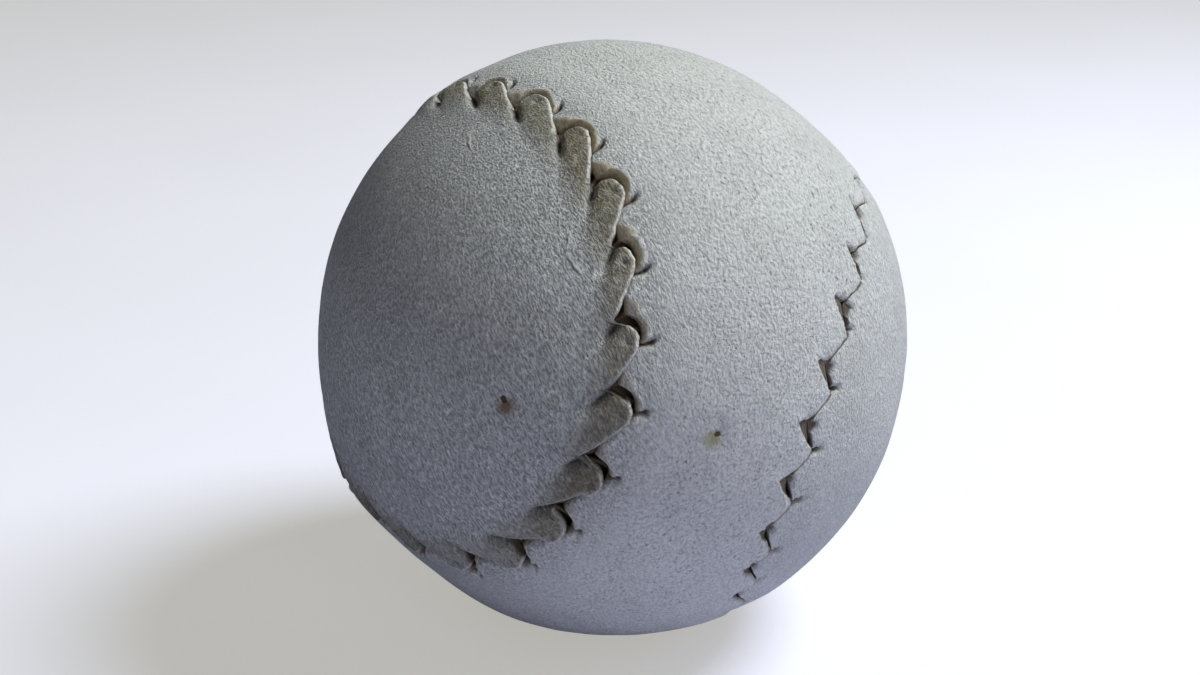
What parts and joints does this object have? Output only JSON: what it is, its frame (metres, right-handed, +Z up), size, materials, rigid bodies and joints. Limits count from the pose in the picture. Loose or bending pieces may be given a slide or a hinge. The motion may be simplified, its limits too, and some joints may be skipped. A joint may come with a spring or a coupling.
{
  "type": "fronton ball",
  "caption": "Hand-pelota ball: a wooden core wound with latex, wool and cotton under two figure-of-eight leather panels sewn edge to edge.",
  "frame": {"origin": "middle of the ball", "axes": "+Z up as the ball lies, -Y towards the viewer of the picture, +X to the viewer's right"},
  "size_m": [0.0639, 0.0641, 0.064],
  "materials": {
    "boxwood": "turned, unvarnished",
    "latex": "matt, slightly tacky",
    "wool": "undyed yarn, tightly wound",
    "cotton": "undyed thread, tightly wound",
    "leather": "worn whitish skin with a fine nap, olive-brown wax near the seam",
    "waxed_thread": "waxed, dark with use"
  },
  "bodies": {
    "root": {"core": "boxwood", "latex_winding": "latex", "wool_winding": "wool", "cotton_winding": "cotton", "cover_panel_1": "leather", "cover_panel_2": "leather", "seam_thread": "waxed_thread"}
  },
  "joints": []
}
